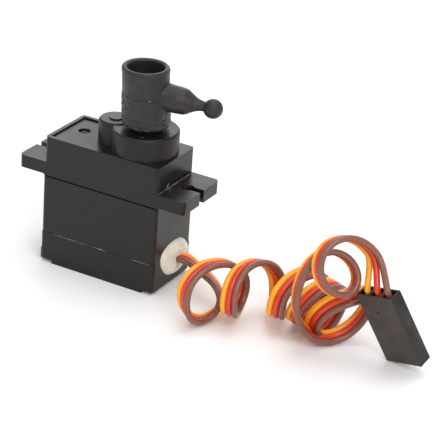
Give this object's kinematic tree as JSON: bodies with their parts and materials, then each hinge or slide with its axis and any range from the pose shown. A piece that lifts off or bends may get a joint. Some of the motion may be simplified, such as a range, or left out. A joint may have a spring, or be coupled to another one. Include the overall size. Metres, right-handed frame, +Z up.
{
  "type": "servo motor",
  "caption": "Micro servo motor with mounting ears, a tall hub horn with a ball-ended arm, and a curled three-wire lead with a socket connector.",
  "frame": {"origin": "centre of the lowest plane of the case's bottom cover", "axes": "+Z up along the output shaft, +X towards the end of the case where the lead leaves, +Y across the case"},
  "size_m": [0.0787, 0.0209, 0.0392],
  "materials": {
    "case_plastic": "satin moulded plastic",
    "screw_steel": "bright plated steel",
    "bush_brass": "turned brass",
    "steel": "ground steel",
    "gear_brass": "cut brass",
    "gear_nylon": "moulded nylon",
    "horn_plastic": "matte moulded nylon",
    "can_steel": "drawn steel",
    "motor_plastic": "moulded nylon",
    "magnet": "sintered ferrite",
    "copper": "enamelled copper",
    "sensor_plastic": "moulded plastic",
    "carbon": "printed carbon",
    "contact_brass": "plated spring brass",
    "board": "solder-masked board",
    "chip": "moulded epoxy",
    "ceramic": "ceramic",
    "motor_wire": "wire insulation",
    "wire_plastic": "wire insulation",
    "glue": "set hot glue",
    "connector_plastic": "moulded plastic"
  },
  "bodies": {
    "case": {"case_bottom": "case_plastic", "case_middle": "case_plastic", "case_top": "case_plastic", "case_screws": "screw_steel", "output_bush": "bush_brass", "idler_pin": "steel", "motor_can": "can_steel", "motor_end_cap": "motor_plastic", "motor_magnets": "magnet", "motor_brushes": "copper", "sensor_housing": "sensor_plastic", "sensor_track": "carbon", "sensor_terminals": "contact_brass", "circuit_board": "board", "control_chip": "chip", "driver_chips": "chip", "board_capacitors": "ceramic", "board_resistors": "chip", "motor_leads": "motor_wire", "lead_tails": "wire_plastic", "lead_seal": "glue", "lead_exit": "wire_plastic", "lead_curl": "wire_plastic", "lead_lower_loop": "wire_plastic", "lead_upper_loop": "wire_plastic", "lead_arch": "wire_plastic", "connector_housing": "connector_plastic", "connector_contacts": "contact_brass"},
    "motor_rotor": {"motor_pinion": "gear_brass", "motor_shaft": "steel", "motor_core": "steel", "motor_windings": "copper", "motor_commutator": "copper"},
    "first_wheel": {"first_gear": "gear_nylon"},
    "second_wheel": {"second_gear": "gear_nylon"},
    "third_wheel": {"third_gear": "gear_nylon"},
    "output": {"output_gear": "gear_brass", "sensor_shaft": "steel", "sensor_wiper": "contact_brass", "servo_horn": "horn_plastic", "horn_screw": "screw_steel"}
  },
  "joints": [
    {"name": "motor_spin", "type": "hinge", "parent": "case", "child": "motor_rotor", "pos_m": [-0.0062, 0, 0.02], "axis": [0, 0, 1], "range_deg": [-8897, 8897]},
    {"name": "first_gear_spin", "type": "hinge", "parent": "case", "child": "first_wheel", "pos_m": [-0.001, 0, 0.02], "axis": [0, 0, 1], "range_deg": [-1862.2, 1862.2]},
    {"name": "second_gear_spin", "type": "hinge", "parent": "case", "child": "second_wheel", "pos_m": [0.005, 0, 0.02], "axis": [0, 0, 1], "range_deg": [-553.7, 553.7]},
    {"name": "third_gear_spin", "type": "hinge", "parent": "case", "child": "third_wheel", "pos_m": [-0.001, 0, 0.02], "axis": [0, 0, 1], "range_deg": [-237.3, 237.3]},
    {"name": "horn_turn", "type": "hinge", "parent": "case", "child": "output", "pos_m": [0.005, 0, 0.02], "axis": [0, 0, 1], "range_deg": [-90, 90]}
  ],
  "couplings": [
    {"joint": "first_gear_spin", "follows": "motor_spin", "ratio": -0.2093},
    {"joint": "second_gear_spin", "follows": "motor_spin", "ratio": 0.062225},
    {"joint": "third_gear_spin", "follows": "motor_spin", "ratio": -0.026668},
    {"joint": "horn_turn", "follows": "motor_spin", "ratio": 0.010115}
  ]
}
